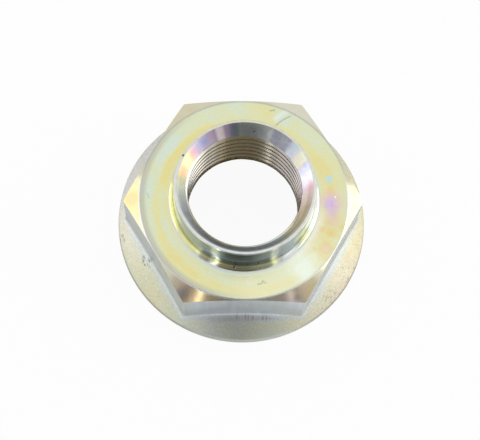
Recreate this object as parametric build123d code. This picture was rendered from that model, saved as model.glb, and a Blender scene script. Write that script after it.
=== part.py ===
from build123d import *
import math
import os

# A pinion nut: a hexagon nut with a conical flange below and a thin turned collar above.
# It is one piece of steel, turned and milled in one, so it is one solid.
# Millimetres. The origin is the centre of the flange's bearing face, and +Z runs up the bore
# to the collar. One flat of the hexagon faces -Y, and two of its corners lie on the X axis.

# Thread: fine metric, M24 x 2, right-hand.
thread_diameter = 24.0
thread_pitch = 2.0
# The crests of the nut's thread lie at the tap drill's diameter, one pitch under the nominal.
bore_radius = (thread_diameter - thread_pitch) / 2

# Hexagon. Its height is measured from the bearing face.
across_flats = 41.0
hex_height = 16.0
hex_corner_round = 0.4
flat_radius = across_flats / 2
corner_radius = flat_radius / math.cos(math.radians(30))

# Chamfer on top of the hexagon. It starts just inside the middle of the flats.
top_chamfer_angle = 30.0
top_face_inset = 0.2
top_edge_round = 0.8
top_face_radius = flat_radius - top_face_inset

# Flange: a low, slightly drafted rim and a cone that climbs from it to the hexagon.
flange_overhang = 1.66
flange_radius = corner_radius + flange_overhang
rim_height = 1.7
rim_draft = 6.0
rim_bottom_chamfer = 0.25
rim_top_round = 0.4
cone_slope = 38.0
hex_foot_fillet = 1.1
rim_top_radius = flange_radius - rim_height * math.tan(math.radians(rim_draft))

# Collar: a thin ring on the top face, with a fillet at its foot.
collar_height = 7.4
collar_rim_width = 0.66
collar_draft = 2.0
collar_foot_fillet = 1.25
collar_rim_chamfer = 0.15
total_height = hex_height + collar_height

# Countersink in the collar, down to the thread's crests.
countersink_angle = 70.0
countersink_margin = 1.0
countersink_radius = thread_diameter / 2 + countersink_margin
countersink_depth = (countersink_radius - bore_radius) / math.tan(math.radians(countersink_angle / 2))
collar_rim_radius = countersink_radius + collar_rim_width

# Relief in the flange's side of the bore, where the thread has ended.
relief_depth = 7.9
relief_clearance = 2.0
relief_lead_angle = 45.0
relief_mouth_chamfer = 0.5
relief_radius = thread_diameter / 2 + relief_clearance
relief_lead_height = (relief_radius - bore_radius) / math.tan(math.radians(relief_lead_angle))


def turned(points):
    """A solid of revolution about Z. Each point is a radius, a height and the round of its corner.

    The outline lies in the half-plane through the middle of a flat, so that the seams of the
    turned faces keep away from the hexagon's corners.
    """
    corners = [(radius, height) for radius, height, _ in points]
    rounds = [corner_round for _, _, corner_round in points]
    outline = FilletPolyline(*corners, radius=rounds, close=True)
    mid_flat_azimuth = 30
    return Rot(0, 0, mid_flat_azimuth) * revolve(Plane.XZ * make_face(outline), axis=Axis.Z)


def flange():
    """The rim and the cone. The cone runs on a little way inside the hexagon."""
    cone_end_radius = flat_radius - hex_foot_fillet - rim_height
    cone_end_height = rim_height + (rim_top_radius - cone_end_radius) * math.tan(math.radians(cone_slope))
    drafted_radius = flange_radius - rim_bottom_chamfer * math.tan(math.radians(rim_draft))
    return turned(
        [
            (0, 0, 0),
            (drafted_radius - rim_bottom_chamfer, 0, 0),
            (drafted_radius, rim_bottom_chamfer, 0),
            (rim_top_radius, rim_height, rim_top_round),
            (cone_end_radius, cone_end_height, 0),
            (0, cone_end_height, 0),
        ]
    )


def hexagon_and_collar():
    """The hexagonal prism, cut to the turned outline of its chamfered top and of the collar."""
    outer_radius = corner_radius + flange_overhang
    chamfer_drop = (outer_radius - top_face_radius) * math.tan(math.radians(top_chamfer_angle))
    collar_slope = math.tan(math.radians(collar_draft))
    collar_wall_radius = collar_rim_radius + collar_height * collar_slope
    collar_shoulder_radius = collar_rim_radius + collar_rim_chamfer * collar_slope
    blank = turned(
        [
            (0, 0, 0),
            (outer_radius, 0, 0),
            (outer_radius, hex_height - chamfer_drop, 0),
            (top_face_radius, hex_height, top_edge_round),
            (collar_wall_radius, hex_height, collar_foot_fillet),
            (collar_shoulder_radius, total_height - collar_rim_chamfer, 0),
            (collar_shoulder_radius - collar_rim_chamfer, total_height, 0),
            (0, total_height, 0),
        ]
    )
    section = fillet(RegularPolygon(flat_radius, 6, major_radius=False).vertices(), hex_corner_round)
    prism = Pos(0, 0, rim_height / 2) * extrude(section, total_height)
    return prism & blank


def foot_edges(body):
    """The edges where the flats and corners of the hexagon meet the flange's cone."""
    return [
        edge
        for edge in body.edges()
        if rim_height < edge.center().Z < hex_height / 2
        and edge.geom_type not in (GeomType.LINE, GeomType.CIRCLE)
    ]


def bore():
    """What is cut away along the axis: the relief, the thread's bore and the countersink."""
    beyond = 1.0
    mouth_radius = relief_radius + relief_mouth_chamfer
    countersink_run = beyond * math.tan(math.radians(countersink_angle / 2))
    return turned(
        [
            (0, -beyond, 0),
            (mouth_radius + beyond, -beyond, 0),
            (relief_radius, relief_mouth_chamfer, 0),
            (relief_radius, relief_depth - relief_lead_height, 0),
            (bore_radius, relief_depth, 0),
            (bore_radius, total_height - countersink_depth, 0),
            (countersink_radius + countersink_run, total_height + beyond, 0),
            (0, total_height + beyond, 0),
        ]
    )


def pinion_nut():
    body = flange() + hexagon_and_collar()
    body = fillet(foot_edges(body), hex_foot_fillet)
    return body - bore()


os.makedirs("parts", exist_ok=True)
export_step(pinion_nut(), "parts/pinion_nut.step")
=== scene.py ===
# %% [markdown]
# # A pinion nut
# This nut holds a pinion or a hub on the end of its shaft. It is one piece of steel: a hexagon, a
# conical flange that spreads the load, and a thin collar on top whose rim can be knocked into a slot
# of the shaft so that the nut can't turn back. It is plated with zinc and passivated, which gives the
# pale yellow that turns to mint, gold, pink and lilac where the film is thicker or thinner.
#
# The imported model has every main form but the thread. Here the nut is turned, milled and threaded
# again as one mesh with even rows of faces, and then gets its plating, the floor and the light.

# %% The frame
from math import atan2, ceil, cos, hypot, pi, radians, sin, sqrt, tan

import bmesh
import bpy
from mathutils import Matrix, Vector


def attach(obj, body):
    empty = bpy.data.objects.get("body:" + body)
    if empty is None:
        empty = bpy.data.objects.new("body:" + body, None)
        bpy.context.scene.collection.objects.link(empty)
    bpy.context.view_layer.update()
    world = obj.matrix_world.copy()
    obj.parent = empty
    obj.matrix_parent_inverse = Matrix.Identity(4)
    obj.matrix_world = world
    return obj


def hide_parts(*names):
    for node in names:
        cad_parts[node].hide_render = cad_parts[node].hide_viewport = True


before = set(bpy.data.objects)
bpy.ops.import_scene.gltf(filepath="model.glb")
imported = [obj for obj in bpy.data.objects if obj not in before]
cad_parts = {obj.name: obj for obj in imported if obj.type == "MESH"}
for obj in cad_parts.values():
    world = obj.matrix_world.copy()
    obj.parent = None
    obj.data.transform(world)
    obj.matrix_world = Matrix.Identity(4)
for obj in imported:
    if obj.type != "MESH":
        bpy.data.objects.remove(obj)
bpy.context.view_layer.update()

# %% [markdown]
# ## Sizes
# All lengths are in metres, and the names are those that a turner would use. The thread is M24 x 2:
# its crests in a nut lie one pitch inside the nominal diameter, and its grooves reach that diameter.
# The smallest rounds are there to catch the light. A half side is half the angle that one flat of the
# hexagon takes up round the axis.

# %% Sizes
MM = 0.001
THREAD_RADIUS = 12.0 * MM
PITCH = 2.0 * MM
BORE_RADIUS = 11.0 * MM

FLAT_RADIUS = 20.5 * MM
CORNER_ROUND = 0.4 * MM
HEX_TOP = 16.0 * MM
TOP_FACE_RADIUS = 20.3 * MM
TOP_EDGE_ROUND = 0.8 * MM
CHAMFER_ANGLE = radians(30)
CHAMFER_SLOPE = tan(CHAMFER_ANGLE)
HALF_SIDE = radians(30)

RIM_RADIUS = 25.332 * MM
RIM_HEIGHT = 1.7 * MM
RIM_SLOPE = tan(radians(6))
RIM_TOP_ROUND = 0.4 * MM
RIM_CHAMFER = 0.25 * MM
RIM_EDGE_ROUND = 0.1 * MM
CONE_ANGLE = radians(38)
CONE_SLOPE = tan(CONE_ANGLE)
FOOT_FILLET = 1.1 * MM

COLLAR_TOP = 23.4 * MM
COLLAR_RIM_RADIUS = 13.66 * MM
COLLAR_SLOPE = tan(radians(2))
COLLAR_FILLET = 1.25 * MM
COLLAR_CHAMFER = 0.15 * MM
COLLAR_EDGE_ROUND = 0.06 * MM
RING_EDGE = 15.8 * MM
RING_SLOPE = tan(radians(4))
RING_ROUND = 6.0 * MM
MOUTH_RADIUS = 13.0 * MM
MOUTH_ROUND = 0.04 * MM
COUNTERSINK_ANGLE = radians(35)
COUNTERSINK_SLOPE = tan(COUNTERSINK_ANGLE)

RELIEF_TOP = 7.9 * MM
RELIEF_RADIUS = 14.0 * MM
RELIEF_CHAMFER = 0.5 * MM
RELIEF_EDGE_ROUND = 0.05 * MM
LEAD_ROUND = 0.1 * MM

CORNER_RADIUS = (FLAT_RADIUS - CORNER_ROUND) / cos(HALF_SIDE) + CORNER_ROUND
RIM_TOP_RADIUS = RIM_RADIUS - RIM_HEIGHT * RIM_SLOPE
print("corner to corner", round(2 * CORNER_RADIUS / MM, 2), "mm")


def cone_height(radius):
    return RIM_HEIGHT + (RIM_TOP_RADIUS - radius) * CONE_SLOPE


def chamfer_height(radius):
    return HEX_TOP - (radius - TOP_FACE_RADIUS) * CHAMFER_SLOPE


def countersink_radius(height):
    return MOUTH_RADIUS - (COLLAR_TOP - height) * COUNTERSINK_SLOPE


def relief_lead_radius(height):
    return min(RELIEF_RADIUS, BORE_RADIUS + RELIEF_TOP - height)


# %% [markdown]
# ## Drawing an outline
# A turned part is easiest to think of as half of its section. The outline is a chain of a few
# vertices in the XZ plane. A fillet or a softened edge is a vertex bevel of that chain, whose offset
# is the length from the corner to where its arc begins. Long runs are then cut into short ones, so
# that the shading of a fillet doesn't spread over the flat face beside it.

# %% Outline helpers
def draw_outline(bm, corners, longest):
    """Draws a chain through the corners, each a radius, a height and perhaps a round and its segments."""
    points = [Vector((radius, 0, height)) for radius, height, *_ in corners]
    verts = [bm.verts.new(point) for point in points]
    for start, end in zip(verts, verts[1:]):
        bm.edges.new((start, end))
    for index, (_, _, *rounding) in enumerate(corners):
        if rounding:
            arc_radius, segments = rounding
            before, here, after = points[index - 1:index + 2]
            turn = (here - before).angle(after - here)
            bmesh.ops.bevel(bm, geom=[verts[index]], offset=arc_radius * tan(turn / 2),
                            offset_type="OFFSET", segments=segments, profile=0.5,
                            affect="VERTICES", material=-1)
    for edge in list(bm.edges):
        cuts = ceil(edge.calc_length() / longest) - 1
        if cuts:
            bmesh.ops.subdivide_edges(bm, edges=[edge], cuts=cuts)


# %% [markdown]
# ## Going round the axis
# A spin with even steps would cut across the small rounds on the hexagon's corners. So the outline
# goes round one sixth of the way in two spins, with short steps past a corner and longer ones over
# a flat, and copies of that sector complete the circle. With a rise, the same spins climb as they
# turn, which is a thread.

# %% Spins
SECTORS = 6
SECTOR_ANGLE = 2 * HALF_SIDE
CORNER_ZONE = radians(2)
CORNER_STEPS = 6
FLAT_STEPS = 46
MERGE_DISTANCE = 0.002 * MM


def spin(bm, geom, angle, steps, climb, copies=False):
    return bmesh.ops.spin(bm, geom=geom, cent=(0, 0, 0), axis=(0, 0, 1), angle=angle, steps=steps,
                          dvec=(0, 0, climb / steps), use_duplicate=copies)["geom_last"]


def sweep(bm, rise=0.0):
    """Takes the outline once round the axis, climbing by the rise, and joins its ends."""
    start = Matrix.Rotation(-CORNER_ZONE / 2, 3, "Z")
    bmesh.ops.rotate(bm, cent=(0, 0, 0), matrix=start, verts=bm.verts)
    leading = [*bm.verts, *bm.edges]
    for angle, steps in ((CORNER_ZONE, CORNER_STEPS), (SECTOR_ANGLE - CORNER_ZONE, FLAT_STEPS)):
        leading = spin(bm, leading, angle, steps, rise * angle / (2 * pi))
    sector = [*bm.verts, *bm.edges, *bm.faces]
    others = SECTORS - 1
    spin(bm, sector, SECTOR_ANGLE * others, others, rise * others / SECTORS, copies=True)
    bmesh.ops.remove_doubles(bm, verts=bm.verts, dist=MERGE_DISTANCE)


# %% [markdown]
# ## The thread
# A nut's thread is a groove that climbs with the bore. One turn of its section has a flat crest at
# the bore, two flanks at 60 degrees to each other and a narrow root. The turns are copies of it
# stacked a pitch apart, and one turn of a climbing spin makes all the grooves at once. Towards both
# ends the groove gets shallower. Where the countersink or the relief's lead has taken the metal away,
# the thread is pushed out onto that cone, so the groove runs out as it does on the real nut. Two flat
# cuts then trim the ends.

# %% Thread
THREAD_TOP_CUT = 22.05 * MM
THREAD_BOTTOM_CUT = 6.7 * MM
THREAD_FOOT = 4.6 * MM
RUN_OUT = 1.5 * MM
THREAD_END = 21.5 * MM
FADE = 0.6 * MM
ROOT_HALF = PITCH / 16
FLANK_ANGLE = radians(30)
FLANK_RUN = (THREAD_RADIUS - BORE_RADIUS) * tan(FLANK_ANGLE)
CREST_ROUND = 0.12 * MM
ROOT_ROUND = 0.15 * MM
LONGEST_IN_THREAD = 0.28 * MM
CUT_TOLERANCE = 0.005 * MM


def draw_thread_section(bm):
    """One pitch of the thread, then as many copies of it as the bore needs."""
    middle = PITCH / 2
    draw_outline(bm, [
        (BORE_RADIUS, 0),
        (BORE_RADIUS, middle - ROOT_HALF - FLANK_RUN, CREST_ROUND, 2),
        (THREAD_RADIUS, middle - ROOT_HALF, ROOT_ROUND, 2),
        (THREAD_RADIUS, middle + ROOT_HALF, ROOT_ROUND, 2),
        (BORE_RADIUS, middle + ROOT_HALF + FLANK_RUN, CREST_ROUND, 2),
        (BORE_RADIUS, PITCH),
    ], longest=LONGEST_IN_THREAD)
    one_pitch = [*bm.verts, *bm.edges]
    turns = ceil((THREAD_TOP_CUT - THREAD_FOOT) / PITCH) + 1
    for turn in range(1, turns):
        copy = bmesh.ops.duplicate(bm, geom=one_pitch)["geom"]
        raised = [item for item in copy if isinstance(item, bmesh.types.BMVert)]
        bmesh.ops.translate(bm, vec=(0, 0, turn * PITCH), verts=raised)
    bmesh.ops.translate(bm, vec=(0, 0, THREAD_FOOT), verts=bm.verts)
    bmesh.ops.remove_doubles(bm, verts=bm.verts, dist=MERGE_DISTANCE)


def make_thread():
    bm = bmesh.new()
    draw_thread_section(bm)
    sweep(bm, rise=PITCH)
    for vert in bm.verts:
        radius = hypot(vert.co.x, vert.co.y)
        height = vert.co.z
        depth_left = max(0, min(1, (height - RELIEF_TOP) / RUN_OUT, (THREAD_END - height) / FADE))
        groove = BORE_RADIUS + (radius - BORE_RADIUS) * depth_left
        vert.co.xy *= max(groove, countersink_radius(height), relief_lead_radius(height)) / radius
    for height, direction in ((THREAD_TOP_CUT, 1), (THREAD_BOTTOM_CUT, -1)):
        bmesh.ops.bisect_plane(bm, geom=[*bm.verts, *bm.edges, *bm.faces], plane_co=(0, 0, height),
                               plane_no=(0, 0, direction), clear_outer=True, dist=CUT_TOLERANCE)
    return bm


thread = make_thread()
print("thread faces", len(thread.faces))

# %% [markdown]
# ## Turning the blank
# The outline runs from the countersink over the collar's rim, down its wall and fillet, across the
# top face and its softened edge, down the hexagon's chamfer and wall, out over the cone and the rim,
# and back under the flange to the relief. The fillet ends in a narrow ring that slopes by a few
# degrees, where the tool was run out. At this stage the hexagon is still a round bar of its corner
# radius.

# %% Blank
JOIN_GAP = 0.1 * MM
LONGEST_IN_BLANK = 0.9 * MM


def draw_blank(bm):
    wall_foot_radius = COLLAR_RIM_RADIUS + (COLLAR_TOP - HEX_TOP) * COLLAR_SLOPE
    shoulder_radius = COLLAR_RIM_RADIUS + COLLAR_CHAMFER * COLLAR_SLOPE
    first_height = THREAD_TOP_CUT + JOIN_GAP
    last_height = THREAD_BOTTOM_CUT - JOIN_GAP
    draw_outline(bm, [
        (countersink_radius(first_height), first_height),
        (MOUTH_RADIUS, COLLAR_TOP, MOUTH_ROUND, 2),
        (shoulder_radius - COLLAR_CHAMFER, COLLAR_TOP, COLLAR_EDGE_ROUND, 2),
        (shoulder_radius, COLLAR_TOP - COLLAR_CHAMFER, COLLAR_EDGE_ROUND, 2),
        (wall_foot_radius, HEX_TOP + (RING_EDGE - wall_foot_radius) * RING_SLOPE, COLLAR_FILLET, 10),
        (RING_EDGE, HEX_TOP, RING_ROUND, 3),
        (TOP_FACE_RADIUS, HEX_TOP, TOP_EDGE_ROUND, 4),
        (CORNER_RADIUS, chamfer_height(CORNER_RADIUS)),
        (CORNER_RADIUS, cone_height(CORNER_RADIUS), FOOT_FILLET, 7),
        (RIM_TOP_RADIUS, RIM_HEIGHT, RIM_TOP_ROUND, 4),
        (RIM_RADIUS - RIM_CHAMFER * RIM_SLOPE, RIM_CHAMFER, RIM_EDGE_ROUND, 2),
        (RIM_RADIUS - RIM_CHAMFER, 0, RIM_EDGE_ROUND, 2),
        (RELIEF_RADIUS + RELIEF_CHAMFER, 0, RELIEF_EDGE_ROUND, 2),
        (RELIEF_RADIUS, RELIEF_CHAMFER, RELIEF_EDGE_ROUND, 2),
        (RELIEF_RADIUS, RELIEF_TOP - (RELIEF_RADIUS - BORE_RADIUS), LEAD_ROUND, 2),
        (relief_lead_radius(last_height), last_height),
    ], longest=LONGEST_IN_BLANK)


nut = bmesh.new()
draw_blank(nut)
sweep(nut)
print("blank faces", len(nut.faces))

# %% [markdown]
# ## Milling the hexagon
# Each vertex outside the softened edge moves straight towards the axis, onto the hexagon's section
# at its azimuth. The chamfer and the cone are sloping, so what is moved inwards also slides up along
# them: that draws the curved lines where the flats meet the chamfer and the flange. An arc begins at
# its radius times the tangent of half the angle by which the outline turns there.

# %% Mill
TOP_EDGE_HALF_TURN = radians(15)
FOOT_HALF_TURN = radians(26)
RIM_TOP_HALF_TURN = radians(23)
CHAMFER_START = TOP_FACE_RADIUS + TOP_EDGE_ROUND * tan(TOP_EDGE_HALF_TURN) * cos(CHAMFER_ANGLE)
FILLET_REACH = FOOT_FILLET * tan(FOOT_HALF_TURN)
CONE_OUTER_END = RIM_TOP_RADIUS - RIM_TOP_ROUND * tan(RIM_TOP_HALF_TURN) * cos(CONE_ANGLE)
WALL_TOP = chamfer_height(CORNER_RADIUS)
WALL_FOOT = cone_height(CORNER_RADIUS)
TINY = 0.004 * MM
MID_FLAT_HEIGHT = 11 * MM


def hexagon_radius(azimuth):
    """The hexagon's radius at an azimuth, with its rounded corners."""
    from_flat = (azimuth % SECTOR_ANGLE) - HALF_SIDE
    round_centre = (FLAT_RADIUS - CORNER_ROUND) / cos(HALF_SIDE)
    if FLAT_RADIUS * tan(abs(from_flat)) <= round_centre * sin(HALF_SIDE):
        return FLAT_RADIUS / cos(from_flat)
    from_corner = HALF_SIDE - abs(from_flat)
    return round_centre * cos(from_corner) + sqrt(CORNER_ROUND ** 2 - (round_centre * sin(from_corner)) ** 2)


def milled(radius, height, azimuth):
    """Where a point of the blank lies on the hexagonal nut: its new radius and height."""
    section = hexagon_radius(azimuth)
    inwards = CORNER_RADIUS - section
    lift_at_top = chamfer_height(section) - WALL_TOP
    lift_at_foot = cone_height(section) - WALL_FOOT
    if height > WALL_TOP + TINY and CHAMFER_START < radius:
        share = (radius - CHAMFER_START) / (CORNER_RADIUS - CHAMFER_START)
        radius = CHAMFER_START + share * (section - CHAMFER_START)
        return radius, chamfer_height(radius)
    if height > WALL_FOOT + FILLET_REACH + TINY and radius > CORNER_RADIUS - TINY:
        foot = WALL_FOOT + FILLET_REACH
        share = (height - foot) / (WALL_TOP - foot)
        return radius - inwards, height + lift_at_foot + share * (lift_at_top - lift_at_foot)
    foot_end = CORNER_RADIUS + FILLET_REACH * cos(CONE_ANGLE) + TINY
    if height > RIM_HEIGHT and CORNER_RADIUS - TINY < radius < foot_end:
        return radius - inwards, height + lift_at_foot
    if height > RIM_HEIGHT and foot_end <= radius < CONE_OUTER_END:
        share = (CONE_OUTER_END - radius) / (CONE_OUTER_END - foot_end)
        radius -= share * inwards
        return radius, cone_height(radius)
    return radius, height


for vert in nut.verts:
    start_radius = hypot(vert.co.x, vert.co.y)
    if start_radius > CHAMFER_START:
        new_radius, vert.co.z = milled(start_radius, vert.co.z, atan2(vert.co.y, vert.co.x))
        vert.co.xy *= new_radius / start_radius
front_flat = min(vert.co.y for vert in nut.verts if abs(vert.co.z - MID_FLAT_HEIGHT) < MM)
print("across flats", round(-2 * front_flat / MM, 3), "mm")

# %% [markdown]
# ## One closed mesh
# The thread and the milled blank end in rings a tenth of a millimetre apart, on the same cones. A
# bridge between each pair closes the nut into one skin, and the normals are set to point outwards.
# Edges that turn sharply stay crisp, and the rest is shaded smooth.

# %% Join and finish the mesh
SHARP_TURN = radians(28)
JOIN_REACH = 0.15 * MM


def join(target, other):
    """Copies the other bmesh into the target through a passing mesh."""
    passing = bpy.data.meshes.new("passing")
    other.to_mesh(passing)
    other.free()
    target.from_mesh(passing)
    bpy.data.meshes.remove(passing)


def open_edges(bm, height):
    return [edge for edge in bm.edges if edge.is_boundary
            and all(abs(vert.co.z - height) < JOIN_REACH for vert in edge.verts)]


join(nut, thread)
for cut_height in (THREAD_TOP_CUT, THREAD_BOTTOM_CUT):
    bmesh.ops.bridge_loops(nut, edges=open_edges(nut, cut_height))
bmesh.ops.recalc_face_normals(nut, faces=nut.faces)
for face in nut.faces:
    face.smooth = True
for edge in nut.edges:
    edge.smooth = edge.is_manifold and edge.calc_face_angle(0) < SHARP_TURN
print("open edges", sum(not edge.is_manifold for edge in nut.edges), "volume mm3",
      round(nut.calc_volume(signed=True) / MM ** 3))

nut_mesh = bpy.data.meshes.new("threaded_nut")
nut.to_mesh(nut_mesh)
nut.free()
threaded_nut = bpy.data.objects.new("threaded_nut", nut_mesh)
bpy.context.scene.collection.objects.link(threaded_nut)
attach(threaded_nut, "root")
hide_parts("pinion_nut")
print("triangles", sum(len(polygon.vertices) - 2 for polygon in nut_mesh.polygons))

# %% [markdown]
# ## Writing a finish as maths
# A node material is easier to read as sums than as a web of links. A signal is a value that varies
# over the surface: arithmetic on it adds Math nodes. A finish is one material, and its add method
# makes any other node from its type, its settings and what its sockets are fed with. In a finish
# lengths are in millimetres, and azimuths are in degrees from the X axis.

# %% Signals and finishes
class Signal:
    """A value that varies over a surface. Arithmetic on it adds Math nodes to its finish."""

    def __init__(self, finish, socket):
        self.finish = finish
        self.socket = socket

    def __add__(self, other):
        return self.finish.maths("ADD", self, other)

    def __sub__(self, other):
        return self.finish.maths("SUBTRACT", self, other)

    def __rsub__(self, other):
        return self.finish.maths("SUBTRACT", other, self)

    def __mul__(self, other):
        return self.finish.maths("MULTIPLY", self, other)

    def __truediv__(self, other):
        return self.finish.maths("DIVIDE", self, other)

    def __abs__(self):
        return self.finish.maths("ABSOLUTE", self)

    __radd__ = __add__
    __rmul__ = __mul__

    def ease(self, low, high):
        """0 below the low value, 1 above the high one, and a smooth step between them."""
        return self.finish.add("ShaderNodeMapRange", {"interpolation_type": "SMOOTHSTEP"},
                               {"Value": self, "From Min": low, "From Max": high}, "Result")

    def near(self, centre, reach):
        """1 at the centre value, and smoothly down to 0 at the reach from it."""
        return 1 - abs(self - centre).ease(0, reach)


class Finish:
    """One material and the nodes that vary it, with the position on its object in millimetres."""

    def __init__(self, name):
        self.material = bpy.data.materials.new(name)
        self.material.use_nodes = True
        self.tree = self.material.node_tree
        self.shader = self.tree.nodes["Principled BSDF"]
        metres = self.add("ShaderNodeTexCoord", {}, {}, "Object").socket
        self.place = self.add("ShaderNodeVectorMath", {"operation": "SCALE"},
                              {"Vector": metres, "Scale": 1 / MM}, "Vector").socket
        parts = self.tree.nodes.new("ShaderNodeSeparateXYZ")
        self.tree.links.new(self.place, parts.inputs[0])
        self.x, self.y, self.z = (Signal(self, output) for output in parts.outputs)
        self.radius = self.maths("SQRT", self.x * self.x + self.y * self.y)

    def feed(self, socket, value):
        """Links a signal or another node's socket, or sets a plain value."""
        source = value.socket if isinstance(value, Signal) else value
        if isinstance(source, bpy.types.NodeSocket):
            self.tree.links.new(source, socket)
        else:
            socket.default_value = source

    def add(self, kind, settings, sockets, output):
        """Adds a node: first its settings, then its sockets. Returns one of its outputs as a signal."""
        node = self.tree.nodes.new(kind)
        for name, value in settings.items():
            if name == "stops":
                self.set_stops(node.color_ramp, value)
            else:
                setattr(node, name, value)
        for name, value in sockets.items():
            self.feed(node.inputs[name], value)
        return Signal(self, node.outputs[output])

    def set_stops(self, ramp, stops):
        while len(ramp.elements) < len(stops):
            ramp.elements.new(1.0)
        for element, (position, colour) in zip(ramp.elements, stops):
            element.position = position
            element.color = (*colour, 1.0)

    def maths(self, operation, *values):
        return self.add("ShaderNodeMath", {"operation": operation}, dict(enumerate(values)), 0)

    def towards(self, azimuth):
        """1 on the side of an azimuth in degrees, 0 a quarter turn away, and -1 opposite."""
        angle = radians(azimuth)
        return (self.x * cos(angle) + self.y * sin(angle)) / self.radius

    def sector(self, azimuth, half_width, softness):
        """1 within a sector about the axis, and 0 beyond its soft sides. All angles are in degrees."""
        outer = cos(radians(half_width + softness))
        inner = cos(radians(max(half_width - softness, 0)))
        return self.towards(azimuth).ease(outer, inner)

    def round_the_axis(self, stops):
        """Three values that change with the azimuth. Each stop is an azimuth and the values there."""
        turn = self.maths("ARCTAN2", 0 - self.y, 0 - self.x) / (2 * pi) + 0.5
        shares = [(azimuth / 360, values) for azimuth, *values in stops]
        ramp = self.add("ShaderNodeValToRGB", {"stops": shares}, {"Fac": turn}, "Color")
        parts = self.tree.nodes.new("ShaderNodeSeparateColor")
        self.tree.links.new(ramp.socket, parts.inputs[0])
        return [Signal(self, output) for output in parts.outputs]

    def spot(self, azimuth, radius, height, reach, softness=0.5, bend=0.0):
        """1 at a point, and 0 beyond its reach. The softness is a share of the reach."""
        angle = radians(azimuth)
        centre = (radius * cos(angle), radius * sin(angle), height)
        distance = self.add("ShaderNodeVectorMath", {"operation": "DISTANCE"},
                            {0: self.place, 1: centre}, "Value")
        return 1 - (distance + bend).ease(reach * (1 - softness), reach)

    def stroke(self, azimuth, radius, turn, half_length, half_width, bend=0.0):
        """1 along a short scratch seen from above, turned by degrees from the X axis."""
        across, along = -sin(radians(turn)), cos(radians(turn))
        aside = self.x - radius * cos(radians(azimuth))
        ahead = self.y - radius * sin(radians(azimuth))
        run = aside * along - ahead * across
        drop = aside * across + ahead * along + run * run * bend
        return drop.near(0, half_width) * (1 - abs(run).ease(half_length * 0.7, half_length))

    def around(self, length):
        """The position unrolled so that noise on it is drawn out along the turned circles."""
        unrolled = [self.towards(0) * length, self.towards(90) * length, self.radius + self.z]
        return self.add("ShaderNodeCombineXYZ", {}, dict(enumerate(unrolled)), "Vector").socket

    def noise(self, size, detail=2.0, stretch=(1, 1, 1), offset=(0, 0, 0), place=None):
        """Soft noise from 0 to 1 with lumps of about the given size in mm."""
        scaled = self.add("ShaderNodeMapping", {}, {"Vector": place or self.place, "Location": offset,
                                                    "Scale": tuple(1 / part for part in stretch)}, "Vector")
        return self.add("ShaderNodeTexNoise", {"noise_dimensions": "3D"},
                        {"Vector": scaled, "Scale": 1 / size, "Detail": detail, "Roughness": 0.5}, "Fac")

    def mix(self, share, first, second):
        """Mixes two colours, whose sockets share their names with others and so go by number."""
        node = self.tree.nodes.new("ShaderNodeMix")
        node.data_type = "RGBA"
        self.feed(node.inputs[0], share)
        self.feed(node.inputs[6], first)
        self.feed(node.inputs[7], second)
        return Signal(self, node.outputs[2])


def grey(value):
    return (value, value, value, 1.0)


# %% [markdown]
# ## Where each surface is
# One plating covers the whole nut, but a turned face, a forged cone and a milled flat take it
# differently. Each kind of surface is found from its own shape: the chamfer and the cone are known
# heights at a radius, the flats are what lies between them, and the bore is what lies inside. A zone
# is 1 on its surface and 0 elsewhere, so a sum of zones, each times a number, gives each its own value.

# %% Zones
plating = Finish("yellow_zinc")
radius, height = plating.radius, plating.z
TOP = HEX_TOP / MM
above_cone = height - (cone_height(0) / MM - radius * CONE_SLOPE)
above_chamfer = height - (chamfer_height(0) / MM - radius * CHAMFER_SLOPE)
outside = radius.ease(20.1, 20.5)
chamfer = outside * above_chamfer.near(0, 0.25) * radius.ease(20.35, 20.6)
flange = outside * (1 - above_cone.ease(0.15, 0.8)) * height.ease(0.1, 0.3)
flats = outside * (1 - chamfer) * (1 - flange)
slanted = [abs(plating.x * cos(radians(turn)) + plating.y * sin(radians(turn))) for turn in (30, 150)]
nearest = plating.maths("MAXIMUM", abs(plating.y), plating.maths("MAXIMUM", *slanted))
from_hexagon = nearest - FLAT_RADIUS / MM
foot_line = (flange * from_hexagon.near(0.9, 1.0) * radius.near(21.5, 2.4)
             * (1 - plating.sector(212, 14, 12) * 0.5))
top_face = height.near(TOP, 0.5) * radius.ease(14.7, 15.1) * (1 - radius.ease(20.2, 20.5))
beyond_mouth = radius.ease(13.0, 13.1)
collar = height.ease(15.9, 16.2) * beyond_mouth * (1 - top_face)
ring = top_face * radius.near(15.1, 0.65)
in_foot = 1 - height.ease(16.6, 17.2)
underside = (1 - height.ease(0.15, 0.3)) * (1 - radius.ease(24.7, 25))
relief_wall = (1 - radius.ease(14.4, 14.8)) * (1 - height.ease(7.4, 8.2))
rim_wall = (1 - height.ease(1.4, 1.6)) * radius.ease(24.95, 25.05)
inside = 1 - beyond_mouth
above_thread = height.ease(20.35, 20.6)
sink = inside * above_thread
upper_sink = sink * height.ease(21.6, 22.5)
threads = inside * (1 - above_thread)
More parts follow.
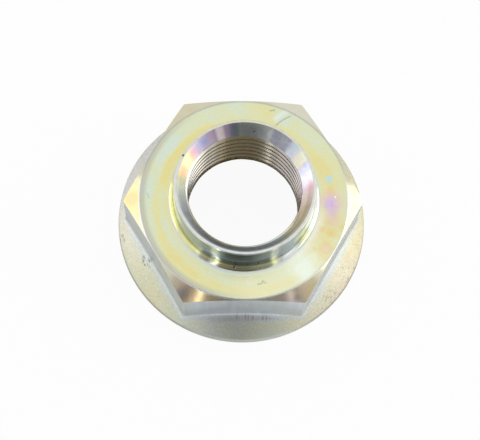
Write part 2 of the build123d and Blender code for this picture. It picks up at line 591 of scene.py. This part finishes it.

# %% [markdown]
# ## The film
# Passivated zinc gets its colours as oil on water does: from the thickness of a clear film. So the
# pattern is painted as one thickness, and a colour ramp turns it into the order in which such films
# change: silvery blue, mint, yellow-green, yellow, gold, pink, lilac and blue. The noises that unsettle
# it have lumps from a third of a millimetre to eight. The numbers here and below are angles for where a
# change lies round the axis and how softly it ends, and factors for its strength. They were given one by
# one, and adjusted by comparing renders with the photograph and by the colours of small patches.

# %% The film's colours
FILM_COLOURS = [
    (0.00, (0.50, 0.56, 0.60)),
    (0.12, (0.62, 0.70, 0.72)),
    (0.25, (0.66, 0.77, 0.64)),
    (0.38, (0.73, 0.76, 0.46)),
    (0.50, (0.78, 0.73, 0.34)),
    (0.62, (0.78, 0.60, 0.22)),
    (0.70, (0.82, 0.58, 0.44)),
    (0.80, (0.69, 0.49, 0.76)),
    (0.92, (0.56, 0.64, 0.86)),
    (1.00, (0.62, 0.78, 0.66)),
]
clouds = plating.noise(8.0, 2.0) - 0.5
blotches = plating.noise(2.2, 3.0, offset=(5, 3, 1)) - 0.5
mottle = plating.noise(0.9, 3.0, offset=(2, 9, 4)) - 0.5
grain = plating.noise(0.32, 2.0, offset=(1, 7, 3)) - 0.5
streaks = plating.noise(1.0, 2.0, stretch=(1, 1, 14)) - 0.5
turning = plating.noise(0.5, 2.0, place=plating.around(4)) - 0.5
warp = plating.noise(3.0, 2.0, offset=(9, 2, 4)) - 0.5

# %% [markdown]
# ## The film on the turned top
# On the top face the film drifts like oil: a golden arc leaves the collar on the far left and winds
# outwards, with mint beside it, and lilac, pink and pale blue pools lie on the right. The arc is a
# ring whose centre is off the axis, and each pool is a soft spot that the noise bends.

# %% Film on the top
ARC_RADIUS = 17.2
ARC_SHIFT = 1.6
THICKEST_ON_TOP = 0.52


def top_spot(azimuth, radius, reach, softness=0.5, bend=0.0):
    """A spot on the top face."""
    return plating.spot(azimuth, radius, TOP, reach, softness, bend)


def pool(azimuth, radius, reach, depth):
    """A pool on the top face, by whose depth the film is thicker or thinner there."""
    return top_spot(azimuth, radius, reach, 0.85, warp * 2.2) * depth


left = plating.sector(165, 36, 16)
far_left = plating.sector(140, 26, 12)
drift = radius + warp * 1.2 - (ARC_RADIUS - plating.towards(100) * ARC_SHIFT)
warped = radius + warp
golden_arc = warped.near(16.0, 1.5) * far_left * 0.31 + drift.near(0, 1.8) * (1 - far_left) * 0.12
mint_arc = warped.near(18.3, 2.3) * left * 0.09
drifting_film = (0.38 + golden_arc - mint_arc + clouds * 0.2 + blotches * 0.12 + turning * 0.1
                 + plating.sector(332, 12, 8) * 0.12 + plating.sector(77, 3, 4) * 0.05
                 + plating.sector(15, 12, 10) * 0.06 + ring * left * 0.14)
right_mottle = plating.maths("MINIMUM", blotches * 0.5 + warp * 0.3 + 0.02, 0.1)
top_film = (plating.maths("MINIMUM", drifting_film, THICKEST_ON_TOP)
            - plating.sector(120, 16, 12) * radius.ease(17, 18.5) * 0.04
            - pool(93, 18.8, 3.0, 0.08) - pool(64, 18.7, 2.6, 0.11)
            + plating.sector(333, 13, 9) * right_mottle + pool(327, 18.7, 2.0, 0.07)
            + pool(4, 16.3, 1.8, 0.08)
            - plating.sector(192, 16, 10) * radius.near(16.4, 1.0) * 0.1
            - ring * plating.sector(278, 46, 20) * 0.28)

# %% [markdown]
# ## Bands round the axis
# On the collar's wall, at its foot and in the countersink, the colours run in bands up and down the
# turned face, and so do painted highlights and painted shade, which stand for the bright and dark parts
# of the room that these faces mirror. Each table goes once round the axis. A row is an azimuth, the
# thickness of the film there, the share of painted highlight and the share of painted shade, and the
# finish changes smoothly from row to row.

# %% Bands
# Each row: azimuth, film thickness, share of painted highlight, share of painted shade.
wall_film, wall_painted_highlight, wall_painted_shade = plating.round_the_axis([
    (0, .25, .5, 0), (8, .25, .5, 0), (30, .36, .2, .05), (130, .36, .2, .1), (150, .24, .3, .1),
    (186, .1, .34, .12), (190, .08, .7, 0), (194, .06, .4, .16), (199, .08, .2, .34), (232, .24, .2, .36),
    (235, .14, .1, .5), (241, .14, .1, .46), (243, .2, .7, 0), (247, .2, .7, 0), (250, .1, .1, .62),
    (257, 0, .1, .74), (276, 0, .1, .8), (284, .06, .1, .66), (290, .12, .1, .58), (292, .2, .8, 0),
    (296, .2, .8, 0), (299, 0, .3, .28), (305, 0, .2, .46), (311, .04, .2, .46), (316, .3, .3, .34),
    (322, .42, .2, .5), (330, .48, .1, .36), (332.5, .2, .3, .3), (336, .1, .9, 0), (350, .15, .9, 0),
    (360, .25, .5, 0)])
foot_film, foot_painted_highlight, foot_painted_shade = plating.round_the_axis([
    (0, .3, .5, .14), (150, .42, .2, 0), (166, .46, .1, 0), (180, .42, .3, 0), (212, .42, .3, 0),
    (228, .44, 0, 0), (229.5, .4, .5, 0), (232, .4, .5, 0), (234, .4, .1, .46), (241, .4, .1, .46),
    (243.5, .38, .6, 0), (247.5, .38, .6, 0), (250, .54, .1, .3), (256, .5, .1, .24), (270, .42, .1, .36),
    (286, .4, .1, .2), (291.5, .4, .1, .16), (293, .36, .5, 0), (297, .34, .5, 0), (299, .05, .6, .1),
    (303, .05, .9, 0), (312, .05, .9, 0), (318, .3, .4, .1), (326, .44, .2, .1), (332, .3, .3, .1),
    (336, .1, .95, 0), (350, .2, .9, 0), (360, .3, .5, .14)])
sink_film, sink_painted_highlight, sink_painted_shade = plating.round_the_axis([
    (0, .76, .3, .14), (5, .8, .7, .02), (14, .87, .8, 0), (17, .9, .3, 0), (22, .9, .2, 0),
    (24.5, .5, .5, 0), (33, .44, .7, 0), (36, .93, .5, 0), (43, .94, .35, .06), (47, .9, .1, .46),
    (62, .94, .1, .5), (73, .98, .1, .5), (95, .98, .1, .48), (104, .86, 0, .34), (108, .78, 0, .36),
    (110, .76, .5, 0), (115, .76, .45, 0), (118, .8, .05, .44), (123, .82, .05, .3), (131, .88, .1, .2),
    (140, .8, .1, .14), (146, .71, .1, .1), (151, .49, .15, .06), (158, .5, .1, .1), (163, .65, .05, .12),
    (167, .66, 0, .16), (171, .42, 0, .4), (200, .1, .1, .34), (262, .04, .1, .28), (303, .2, .2, .08),
    (316, .5, .3, .02), (360, .76, .3, .14)])

# %% [markdown]
# ## The film elsewhere
# The forged cone is cream, with a blue-white line where it meets the hexagon. The milled flats carry
# the thinnest film and look blue-grey. The chamfers run from beige to orange and mauve, and the film
# in the thread is thick.

# %% Film on the other faces
flat_film = streaks * 0.12 + plating.sector(330, 34, 6) * 0.1 + plating.sector(270, 27, 4) * 0.1
flange_film = (0.47 + clouds * 0.34 + blotches * 0.26 + mottle * 0.16 - foot_line * 0.36
               - plating.sector(265, 22, 20) * 0.2 + plating.sector(332, 12, 12) * 0.08)
collar_film = wall_film * (1 - in_foot) + foot_film * in_foot + streaks * 0.1
chamfer_film = (0.53 + blotches * 0.3 + plating.spot(180, 21.9, 15.1, 2.4, 0.95, blotches * 2) * 0.1
                + plating.sector(247, 8, 5) * 0.1 + plating.sector(236, 3, 4) * 0.06
                + plating.sector(295, 6, 5) * 0.14 + plating.sector(307, 3, 3) * 0.1)
thread_film = 0.6 + plating.sector(15, 36, 16) * 0.14
lower_film = 0.4 + clouds * 0.3 + blotches * 0.2 + turning * 0.2
film = (top_film * top_face + flat_film * flats + flange_film * flange + collar_film * collar
        + (sink_film + streaks * 0.16) * sink + chamfer_film * chamfer
        + thread_film * threads * (1 - relief_wall)
        + lower_film * plating.maths("MAXIMUM", underside, relief_wall))
film_colour = plating.add("ShaderNodeValToRGB", {"stops": FILM_COLOURS}, {"Fac": film}, "Color")

# %% [markdown]
# ## Pale places and painted highlights
# Where the film is thin the zinc itself shows, which is a pale silver. The flats and the hexagon's
# foot are cooler than the rest. Near-white painted highlights lie in bands on the collar and in the
# countersink, on the thread's sides, on a far chamfer, on the ring at the collar's foot and along the
# near softened edge, where these faces mirror the bright room.

# %% Pale places and painted highlights
golden_ends = plating.sector(180, 9, 5) + plating.sector(246, 15, 5)
# The thread's terms to left and right are a painted highlight; the rest is the pale silver of thin film.
paleness_and_thread_highlight = (flange * (0.36 + plating.sector(150, 45, 20) * 0.3 + plating.sector(315, 20, 15) * 0.15)
            + 0.42 * chamfer + 0.24 * flats + 0.1 * (1 - top_face * golden_arc * 4) + sink * 0.12
            + threads * (0.2 + plating.sector(25, 44, 16) * 0.5 + plating.sector(158, 40, 14) * 0.5)
            + ring * plating.sector(230, 30, 20) * 0.3 - golden_ends * chamfer * 0.34)
coolness = (flats * (plating.sector(330, 34, 6) * 0.55 + plating.sector(270, 27, 4) * 0.6
                     + plating.sector(210, 27, 4) * 0.25)
            + flange * from_hexagon.near(0.25, 0.6) * 0.6)
lavender = flange * plating.sector(146, 26, 14) * 0.5
lower_sink = 1 - height.ease(20.9, 21.4)
# Painted highlights: near-white bands on the collar, in the countersink, on the thread and a far chamfer,
painted_highlights = (collar * (wall_painted_highlight * (1 - in_foot) + foot_painted_highlight * in_foot)
            + sink * (sink_painted_highlight + lower_sink * plating.sector(225, 30, 20) * 0.4
                      + plating.sector(65.8, 1.2, 1.5) * 0.8 + plating.sector(54, 8, 4) * mottle * 3)
            + threads * plating.sector(168, 20, 12) * 0.4 + chamfer * plating.sector(60, 12, 8) * 0.35)
# A painted highlight on the near right of the ring at the collar's foot.
painted_ring_highlight = top_face * radius.near(15.3, 1.5) * plating.sector(326, 20, 10) * 0.7
pale_side = top_face * plating.sector(299, 24, 20) * 0.5
edge_zone = radius.near(20.45, 0.34) * height.ease(15.3, 15.6)
# A painted highlight along the softened top edge on the near side.
painted_edge_highlight = edge_zone * plating.sector(235, 60, 20) * 0.65

# %% [markdown]
# ## Stains, pools and painted glints
# Small stains colour the countersink and the chamfers, and larger pools lie on the top face. Two dark
# grey patches darken the near chamfers. The near chamfers have mauve and amber bands, painted gold glints
# stand for highlights on the collar's foot, and its rim is pale grey, yellower on the far side.

# %% Stains, pools and painted glints
# Azimuth, radius, height, reach, share and colour
STAINS = [
    (1, 12.6, 22.9, 1.7, 0.55, (0.85, 0.42, 0.42)),
    (22, 12.4, 22.6, 1.0, 0.5, (0.48, 0.50, 0.92)),
    (40, 12.7, 23.0, 1.5, 0.5, (0.50, 0.74, 0.80)),
    (130, 12.2, 22.2, 1.7, 0.6, (0.40, 0.42, 0.85)),
    (144.5, 12.2, 22.2, 1.3, 0.6, (0.85, 0.42, 0.48)),
    (152, 12.8, 23.1, 1.2, 0.5, (0.84, 0.88, 0.40)),
    (165.5, 12.4, 22.5, 1.6, 0.5, (0.92, 0.52, 0.30)),
    (4.5, 22.2, 14.9, 1.8, 0.6, (0.90, 0.62, 0.42)),
    (359, 23.2, 14.3, 1.2, 0.6, (0.86, 0.58, 0.62)),
    (237, 22.4, 14.8, 2.0, 0.75, (0.30, 0.30, 0.34)),
    (290, 21.6, 15.2, 1.2, 0.5, (0.80, 0.60, 0.66)),
    (296.5, 22.2, 14.9, 1.2, 0.7, (0.34, 0.31, 0.33)),
]
stained_faces = sink + chamfer
ragged = mottle * 0.8
stains = [(plating.spot(azimuth, out, up, reach, 0.9, ragged) * stained_faces * share, colour)
          for azimuth, out, up, reach, share, colour in STAINS]
pink_pool = (top_spot(358, 17.0, 3.6, 0.9, warp * 3) * 0.8
             + top_spot(346, 17.9, 2.6, 0.95, blotches * 4) * 0.5)
lilac_pool = (top_spot(355.5, 17.4, 2.2, 0.95, blotches * 4)
              + top_spot(351, 17.6, 2.2, 1.0, blotches * 2) * 0.5)
bright_pool = top_spot(309.5, 18.2, 4.2, 0.8, warp * 3) * 0.85
blue_pool = top_spot(13.5, 17.2, 1.15, 0.6, warp * 0.8)
mauve = chamfer * (plating.sector(235, 5, 3) * 0.5 + plating.sector(258, 9, 5) * 0.3
                   + plating.sector(288, 8, 5) * 0.3)
amber = chamfer * plating.sector(306, 4, 3) * 0.6
# Painted glints: gold highlights along the collar's foot and two bright spots on its fillet.
glint_arcs = plating.sector(197, 30, 4) + plating.sector(294.5, 2.5, 2)
painted_glint = (collar * height.near(16.55, 0.55) * glint_arcs * 0.7
         + plating.spot(230.7, 14.2, 16.65, 0.5) + plating.spot(245.5, 14.2, 16.65, 0.5))
# The collar's rim is pale grey, yellower on the far side.
rim = collar * height.ease(23.2, 23.32) * 0.85
rim_tint = plating.mix(plating.sector(88, 62, 24), (0.69, 0.70, 0.67, 1), (0.67, 0.67, 0.54, 1))

# %% [markdown]
# ## Painted shade
# The collar's wall and the countersink have painted shade in bands of navy and slate, for the dark front
# of the room that they mirror. The film is greyer towards the softened edge on the left of the top face,
# and painted shade dulls the softened edge round the far side, the near flange and parts of the flange's
# rim. Deep in the thread little light comes back, and brown painted shade darkens it there, in bands of the
# countersink and at the collar's foot, with a dark line along the crease at the foot.

# %% Painted shade
wall = collar * (1 - in_foot) * (1 - height.ease(23.15, 23.3))
low_wall = 1 - height.ease(18.5, 21)
wall_drop = low_wall * (plating.sector(302, 7, 4) * 0.5 + plating.sector(222, 10, 6) * 0.3
                        - plating.sector(268, 19, 8) * 0.65)
# Painted shade: navy bands on the collar's wall and dark bands high in the countersink.
shaded = (wall * wall_painted_shade * (1 + wall_drop) + upper_sink * plating.sector(262, 36, 24) * 0.4
          + sink * plating.sector(99.5, 3, 3) * 0.45)
# Greyer film on the outer top face to the left, and painted shade on the far softened edge and near flange.
greyer_film_and_painted_shade = (top_face * radius.ease(18.8, 19.9) * plating.sector(195, 62, 20) * 0.5
        + edge_zone * plating.sector(95, 80, 16) * 0.4 + flange * plating.sector(258, 12, 10) * 0.3)
# Painted shade on the near sides of the flange's rim.
painted_flange_rim_shade = rim_wall * (plating.sector(222, 28, 14) * 0.5 + plating.sector(325, 22, 12) * 0.4)
# Brown painted shade deep in the thread, in bands in the countersink and the collar's foot, and along its
# crease.
painted_brown_shade = (threads * (0.24 + plating.sector(92, 18, 14) * 0.34 - plating.sector(170, 26, 14) * 0.2
                   - plating.sector(10, 24, 14) * 0.04)
        + sink * sink_painted_shade + upper_sink * plating.sector(325, 26, 22) * 0.32
        + collar * in_foot * foot_painted_shade
        + collar * (1 - height.ease(16.12, 16.28)) * plating.sector(270, 20, 3) * 0.4)

# %% [markdown]
# ## The colours, layer by layer
# The colour is painted in layers, each over those before it: first the film's own colour, then the
# pale places and painted highlights, the stains, pools and painted glints, the collar's rim, and last
# the painted shade.

# %% Layers
def paint(base, layers):
    """Lays colours over a base, in order. Each layer is a share and a colour."""
    for share, colour in layers:
        base = plating.mix(share, base, (*colour, 1.0))
    return base


light_layers = paint(film_colour, [
    (paleness_and_thread_highlight, (0.72, 0.71, 0.68)),
    (coolness, (0.74, 0.79, 0.89)),
    (lavender, (0.68, 0.68, 0.72)),
    (plating.maths("MAXIMUM", painted_highlights, painted_ring_highlight) * 0.8, (0.93, 0.95, 0.94)),
    (pale_side, (0.88, 0.90, 0.66)),
    (painted_edge_highlight, (0.76, 0.73, 0.78)),
    *stains,
    (pink_pool, (0.80, 0.60, 0.56)),
    (lilac_pool * 0.9, (0.66, 0.49, 0.80)),
    (bright_pool, (0.88, 0.97, 0.86)),
    (blue_pool * 0.9, (0.50, 0.76, 0.80)),
    (mauve, (0.44, 0.36, 0.38)),
    (amber, (0.66, 0.52, 0.26)),
    (painted_glint, (0.94, 0.87, 0.30)),
])
dark_layers = paint(plating.mix(rim, light_layers, rim_tint), [
    (shaded, (0.07, 0.13, 0.20)),
    (plating.maths("MAXIMUM", greyer_film_and_painted_shade, painted_flange_rim_shade), (0.40, 0.39, 0.38)),
    (painted_brown_shade, (0.10, 0.065, 0.05)),
])

# %% [markdown]
# ## Specks, nicks and scratches
# The cone is speckled, with pits by the hexagon's foot on the left and near the rim, and short forging
# marks on the near side. A few black specks sit on the collar and in the countersink. A curved scratch,
# some nicks and a pale fleck are on the top face, where the photograph has them.

# %% Marks
pit_field = (plating.spot(206.5, 21.3, 4.7, 1.9) * 0.8 + plating.spot(190, 24.9, 2.0, 1.4) * 0.5
             + (plating.spot(316, 24.9, 1.9, 3.4) + plating.spot(333, 24.4, 2.3, 3.0)) * 0.34)
pits = (plating.noise(0.5, 1.0, stretch=(1, 2, 1), offset=(4, 4, 4)) - 0.5).ease(0.06, 0.12) * pit_field
forge_lines = (plating.noise(0.4, 1.0, stretch=(1, 12, 12), offset=(3, 0, 0)) - 0.5).ease(0.05, 0.15)
forge_marks = forge_lines * plating.sector(276, 9, 4) * from_hexagon.near(0.7, 0.8) * flange
specks = (plating.spot(152.5, 13.35, 23.4, 0.3) + plating.spot(81, 11.85, 21.76, 0.3)
          + plating.spot(262, 14.3, 16.5, 0.36) + plating.spot(281.5, 14.5, 16.3, 0.2))
scratches = top_face * (plating.stroke(64.5, 18.2, 34, 2.2, 0.22, 0.06)
                        + plating.stroke(72.5, 19.4, 10, 0.7, 0.24)
                        + plating.stroke(178.5, 18.7, -68, 0.7, 0.12, 0.3)
                        + plating.stroke(280, 17.5, 20, 0.7, 0.32, -0.4) * 0.7
                        + plating.stroke(282.5, 17.3, -35, 0.6, 0.3) * 0.6)
fleck = top_spot(1, 17.9, 0.26) + top_face * plating.stroke(67, 19.0, 36, 2.0, 0.9) * 0.42
dark = plating.maths("MINIMUM", pits * 0.6 + specks * 0.9 + forge_marks * 0.42 + scratches * 0.38, 1.0)
plated = paint(dark_layers, [(fleck, (0.88, 0.92, 0.86)), (dark, (0.06, 0.06, 0.055))])
texture = 1 + grain * (flange * 0.44 + 0.1) + streaks * (flats + collar + sink) * 0.3
base_colour = plating.add("ShaderNodeVectorMath", {"operation": "SCALE"},
                          {"Vector": plated, "Scale": texture}, "Vector")

# %% [markdown]
# ## Polish and relief
# The cut faces are polished like mirrors that are a little blind, and the cone is satin and grainy.
# The grain, the mill's streaks and the lathe's rings are small bumps in the surface. Another bump bends
# the shading of the countersink as if it bulged a little.

# %% Roughness and bumps
BUMP_DISTANCE = 0.03
BULGE_SLOPE = 0.26
roughness = (0.19 + 0.24 * flange + 0.13 * flats - 0.05 * chamfer - 0.06 * collar + 0.12 * sink
             + blotches * 0.08 + dark * 0.3)
sink_climb = plating.maths("MINIMUM", radius, MOUTH_RADIUS / MM) - BORE_RADIUS / MM
bulge = sink_climb * plating.maths("MAXIMUM", height.ease(20.3, 20.9), beyond_mouth)
relief = (grain * (flange * 1.4 + 0.05) + streaks * flats * 0.6
          + turning * (top_face + sink + underside) * 0.3 - dark * 1.2
          - bulge * (BULGE_SLOPE / sin(COUNTERSINK_ANGLE) / BUMP_DISTANCE))
bump = plating.add("ShaderNodeBump", {},
                   {"Strength": 1.0, "Distance": BUMP_DISTANCE * MM, "Height": relief}, "Normal")
plating.feed(plating.shader.inputs["Base Color"], base_colour)
plating.feed(plating.shader.inputs["Roughness"], roughness)
plating.feed(plating.shader.inputs["Normal"], bump)
plating.shader.inputs["Metallic"].default_value = 1.0
nut_mesh.materials.append(plating.material)
print("plating nodes", len(plating.tree.nodes))

# %% [markdown]
# ## The camera
# The photograph looks down on the nut from about 73 degrees above the table, a little from the left,
# and the camera is rolled by about 6 degrees. It stands close, less than 30 cm away, so the collar
# looks larger than it would from afar.

# %% Camera
IMAGE_WIDTH = 480
SENSOR_WIDTH = 36.0
FOCAL_PIXELS = 1373.2
CAMERA_ELEVATION = radians(72.552)
CAMERA_AZIMUTH = radians(-5.826)
CAMERA_ROLL = radians(5.748)
CAMERA_DISTANCE = 283.6 * MM
CAMERA_ASIDE = -0.346 * MM
CAMERA_UPWARD = 0.501 * MM


def place_camera():
    towards_camera = Vector((sin(CAMERA_AZIMUTH) * cos(CAMERA_ELEVATION),
                             -cos(CAMERA_AZIMUTH) * cos(CAMERA_ELEVATION), sin(CAMERA_ELEVATION)))
    level_right = (-towards_camera).cross(Vector((0, 0, 1))).normalized()
    level_up = level_right.cross(-towards_camera)
    right = level_right * cos(CAMERA_ROLL) + level_up * sin(CAMERA_ROLL)
    up = level_up * cos(CAMERA_ROLL) - level_right * sin(CAMERA_ROLL)
    place = towards_camera * CAMERA_DISTANCE + level_right * CAMERA_ASIDE + level_up * CAMERA_UPWARD
    data = bpy.data.cameras.new("camera")
    data.sensor_width = SENSOR_WIDTH
    data.lens = FOCAL_PIXELS * SENSOR_WIDTH / IMAGE_WIDTH
    data.clip_start = 0.01
    data.clip_end = 10
    camera = bpy.data.objects.new("camera", data)
    axes = Matrix((right, up, towards_camera)).transposed()
    camera.matrix_world = Matrix.Translation(place) @ axes.to_4x4()
    bpy.context.scene.collection.objects.link(camera)
    return camera


bpy.context.scene.camera = place_camera()

# %% [markdown]
# ## The floor
# The photograph has a pure white ground without a visible shadow. The floor is white paper that
# takes a soft shadow, and for the camera and for reflections most of it is plain white. For reflections
# that white glow fades out towards the nut, which paints a soft shadow round and under it. So the steel
# mirrors the same white ground that the camera sees, and no extra light is needed to bleach it.

# %% Floor
FLOOR_HALF_WIDTH = 2.5
PAINTED_SHADOW_RADIUS = 70
SEEN_WHITE = 0.94
MIRRORED_WHITE = 0.85


def add_stage(name, bm, material):
    """Adds a piece of the studio, which isn't part of the nut."""
    mesh = bpy.data.meshes.new(name)
    bm.to_mesh(mesh)
    bm.free()
    piece = bpy.data.objects.new(name, mesh)
    bpy.context.scene.collection.objects.link(piece)
    mesh.materials.append(material)
    return piece


def white_paper():
    paper = Finish("white_paper")
    paper.shader.inputs["Base Color"].default_value = grey(0.9)
    paper.shader.inputs["Roughness"].default_value = 0.9
    glow = paper.tree.nodes.new("ShaderNodeEmission")
    rays = paper.tree.nodes.new("ShaderNodeLightPath")
    camera, glossy, through = (Signal(paper, rays.outputs[name])
                               for name in ("Is Camera Ray", "Is Glossy Ray", "Is Transmission Ray"))
    # In reflections the glow fades out towards the nut: a painted soft shadow round and under it.
    glow_beyond_painted_shadow = paper.radius.ease(RELIEF_RADIUS / MM, PAINTED_SHADOW_RADIUS) * MIRRORED_WHITE
    share = camera * SEEN_WHITE + (1 - camera) * paper.maths("MAXIMUM", glossy, through) * glow_beyond_painted_shadow
    blend = paper.tree.nodes.new("ShaderNodeMixShader")
    paper.feed(blend.inputs[0], share)
    paper.feed(blend.inputs[1], paper.shader.outputs[0])
    paper.feed(blend.inputs[2], glow.outputs[0])
    paper.feed(paper.tree.nodes["Material Output"].inputs["Surface"], blend.outputs[0])
    return paper.material


floor_bm = bmesh.new()
bmesh.ops.create_grid(floor_bm, x_segments=1, y_segments=1, size=FLOOR_HALF_WIDTH)
add_stage("floor", floor_bm, white_paper())

# %% [markdown]
# ## The light
# Polished plating shows its surroundings, so the light is read off the nut in the photograph. Its
# left and right chamfers are nearly white, its top is evenly bright, and everything that faces the
# lens is dark. So the room is plain white, two soft boxes stand left and right, one hangs behind,
# and a dark card stands for the open front of the tent, darkest where the lens looks in. Two slits
# of light beside it give the narrow highlights on the near chamfers.

# %% Light
LAMP_DISTANCE = 0.6
CARD_DISTANCE = 280 * MM
CARD_ASIDE = -10 * MM
CARD_MIDDLE = 605 * MM
CARD_WIDTH = 0.9
CARD_HEIGHT = 1.2
BRIGHTEST = 4.0
ROOM_BRIGHTNESS = 0.85


def look_from(elevation, azimuth):
    """A frame at a lamp's distance from the nut, whose +Z looks away from the nut."""
    away = Vector((cos(elevation) * cos(azimuth), cos(elevation) * sin(azimuth), sin(elevation)))
    rotation = away.to_track_quat("Z", "Y").to_matrix().to_4x4()
    return Matrix.Translation(away * LAMP_DISTANCE) @ rotation


def soft_box(name, elevation, azimuth, width, length, brightness):
    """An area lamp whose brightness is the level at which the steel mirrors it."""
    data = bpy.data.lights.new(name, "AREA")
    data.shape = "RECTANGLE"
    data.size = width
    data.size_y = length
    data.energy = brightness * pi * width * length
    lamp = bpy.data.objects.new(name, data)
    lamp.matrix_world = look_from(radians(elevation), radians(azimuth))
    bpy.context.scene.collection.objects.link(lamp)


def front_card():
    """The dark front of the tent, as an upright card that the camera doesn't see.

    Its brightness is painted over the millimetres across and up.
    """
    tent = Finish("dark_front")
    glow = tent.tree.nodes.new("ShaderNodeEmission")
    across, up = tent.x, tent.z
    aside = abs(across + 28)
    lens = (1 - aside.ease(75, 150)) * up.ease(400, 500)
    low_centre = (1 - aside.ease(20, 130)) * (1 - up.ease(200, 330))
    beyond = abs(across).ease(250, 300) * (1 - up.ease(560, 700))
    left_slit = (across + 135 + up * 0.112).near(0, 18)
    right_slit = (across - 173 - up * 0.116).near(0, 30)
    side_light = abs(across).ease(110, 260) * (1 - up.ease(150, 330))
    level = (0.36 - low_centre * 0.16 + up.ease(380, 560) * 0.32 - up.ease(600, 700) * 0.2 - lens * 0.44
             + left_slit * 2.6 + right_slit * 0.7 + side_light * 0.3 + beyond * 0.35)
    tent.feed(glow.inputs["Color"], tent.mix(level / BRIGHTEST, grey(0), grey(1)))
    glow.inputs["Strength"].default_value = BRIGHTEST
    tent.feed(tent.tree.nodes["Material Output"].inputs["Surface"], glow.outputs[0])
    bm = bmesh.new()
    bmesh.ops.create_grid(bm, x_segments=1, y_segments=1, size=0.5)
    bmesh.ops.scale(bm, vec=(CARD_WIDTH, CARD_HEIGHT, 1), verts=bm.verts)
    bmesh.ops.rotate(bm, cent=(0, 0, 0), matrix=Matrix.Rotation(radians(90), 3, "X"), verts=bm.verts)
    bmesh.ops.translate(bm, vec=(CARD_ASIDE, -CARD_DISTANCE, CARD_MIDDLE), verts=bm.verts)
    card = add_stage("front_card", bm, tent.material)
    card.visible_camera = False


soft_box("soft_box_left", 26, 168, width=0.38, length=0.4, brightness=0.55)
soft_box("soft_box_right", 28, 2, width=0.5, length=0.42, brightness=0.92)
soft_box("soft_box_behind", 72, 90, width=0.6, length=0.3, brightness=0.15)
front_card()

world = bpy.data.worlds.new("white_room")
bpy.context.scene.world = world
world.use_nodes = True
background = world.node_tree.nodes["Background"]
background.inputs["Color"].default_value = grey(1)
background.inputs["Strength"].default_value = ROOM_BRIGHTNESS

bpy.context.scene.view_settings.view_transform = "Standard"
